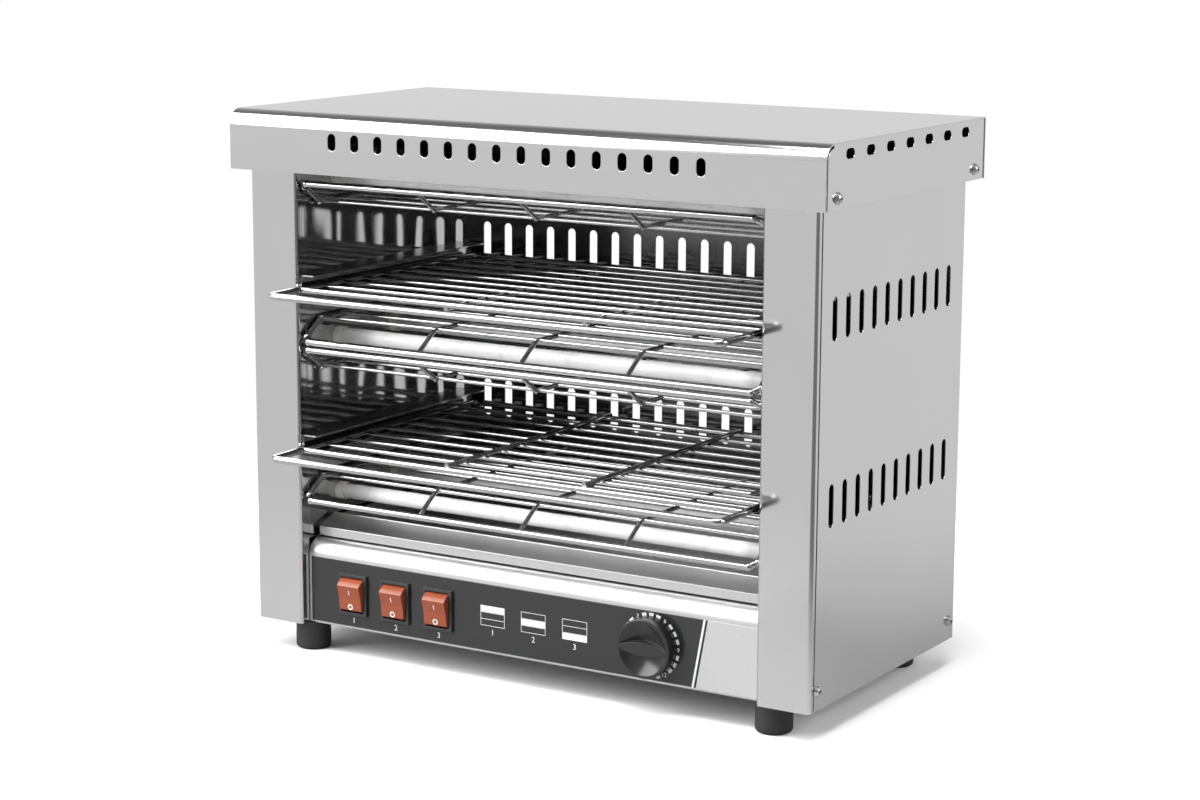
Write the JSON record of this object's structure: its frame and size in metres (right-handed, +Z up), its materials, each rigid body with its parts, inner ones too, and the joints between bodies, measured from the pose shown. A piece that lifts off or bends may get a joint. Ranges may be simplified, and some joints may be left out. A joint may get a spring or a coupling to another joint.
{
  "type": "counter toaster",
  "caption": "Stainless counter toaster with open bays, pull-out wire racks, quartz tubes behind wire guards, a crumb tray, rocker switches and a timer knob",
  "frame": {"origin": "on the table under the middle of the bounding box", "axes": "+X to the right seen from the front, +Y to the back, +Z up"},
  "size_m": [0.495, 0.294, 0.408],
  "materials": {
    "cabinet_steel": "fine satin stainless sheet",
    "mirror_steel": "bright rolled stainless sheet",
    "bright_wire": "bright plated wire",
    "quartz_glass": "milky quartz",
    "ceramic": "unglazed white ceramic",
    "black_plastic": "moulded black",
    "switch_red": "moulded orange red",
    "overlay_grey": "printed film, glossy",
    "foot_rubber": "moulded rubber",
    "plated_fasteners": "plated steel"
  },
  "bodies": {
    "cabinet": {"base_pan": "cabinet_steel", "left_post": "cabinet_steel", "right_post": "cabinet_steel", "left_side_cover": "cabinet_steel", "right_side_cover": "cabinet_steel", "left_liner": "mirror_steel", "right_liner": "mirror_steel", "back_panel": "cabinet_steel", "top_reflector": "mirror_steel", "front_lintel": "cabinet_steel", "top_cover": "cabinet_steel", "deck_plate": "mirror_steel", "deck_brackets": "cabinet_steel", "control_fascia": "cabinet_steel", "fascia_overlay": "overlay_grey", "top_tube_front": "quartz_glass", "top_tube_middle": "quartz_glass", "top_tube_rear": "quartz_glass", "middle_tube_front": "quartz_glass", "middle_tube_middle": "quartz_glass", "middle_tube_rear": "quartz_glass", "lower_tube_front": "quartz_glass", "lower_tube_middle": "quartz_glass", "lower_tube_rear": "quartz_glass", "top_coils": "bright_wire", "middle_coils": "bright_wire", "lower_coils": "bright_wire", "top_end_caps": "ceramic", "middle_end_caps": "ceramic", "lower_end_caps": "ceramic", "cap_retainers": "cabinet_steel", "top_guard": "bright_wire", "middle_upper_guard": "bright_wire", "middle_lower_guard": "bright_wire", "lower_guard": "bright_wire", "guard_nuts": "plated_fasteners", "upper_left_rail": "cabinet_steel", "upper_right_rail": "cabinet_steel", "lower_left_rail": "cabinet_steel", "lower_right_rail": "cabinet_steel", "switch_1_housing": "black_plastic", "switch_2_housing": "black_plastic", "switch_3_housing": "black_plastic", "timer_body": "black_plastic", "feet": "foot_rubber", "foot_screws": "plated_fasteners", "foot_nuts": "plated_fasteners", "case_screws": "plated_fasteners", "cable_gland": "black_plastic", "gland_nut": "black_plastic", "terminal_block": "ceramic"},
    "upper_rack": {"upper_rack": "bright_wire"},
    "lower_rack": {"lower_rack": "bright_wire"},
    "crumb_tray": {"crumb_tray": "mirror_steel"},
    "rocker_1": {"rocker_1": "switch_red"},
    "rocker_2": {"rocker_2": "switch_red"},
    "rocker_3": {"rocker_3": "switch_red"},
    "timer_dial": {"timer_knob": "black_plastic", "timer_shaft": "plated_fasteners"}
  },
  "joints": [
    {"name": "upper_rack_pull", "type": "slide", "parent": "cabinet", "child": "upper_rack", "axis": [0, -1, 0], "range_m": [0, 0.24]},
    {"name": "lower_rack_pull", "type": "slide", "parent": "cabinet", "child": "lower_rack", "axis": [0, -1, 0], "range_m": [0, 0.24]},
    {"name": "crumb_tray_pull", "type": "slide", "parent": "cabinet", "child": "crumb_tray", "axis": [0, -1, 0], "range_m": [0, 0.235]},
    {"name": "rocker_1_tilt", "type": "hinge", "parent": "cabinet", "child": "rocker_1", "pos_m": [-0.1515, -0.0918, 0.049], "axis": [-1, 0, 0], "range_deg": [0, 22]},
    {"name": "rocker_2_tilt", "type": "hinge", "parent": "cabinet", "child": "rocker_2", "pos_m": [-0.113, -0.0918, 0.049], "axis": [-1, 0, 0], "range_deg": [0, 22]},
    {"name": "rocker_3_tilt", "type": "hinge", "parent": "cabinet", "child": "rocker_3", "pos_m": [-0.0745, -0.0918, 0.049], "axis": [-1, 0, 0], "range_deg": [0, 22]},
    {"name": "timer_turn", "type": "hinge", "parent": "cabinet", "child": "timer_dial", "pos_m": [0.1055, -0.0946, 0.049], "axis": [0, 1, 0], "range_deg": [0, 300]}
  ]
}
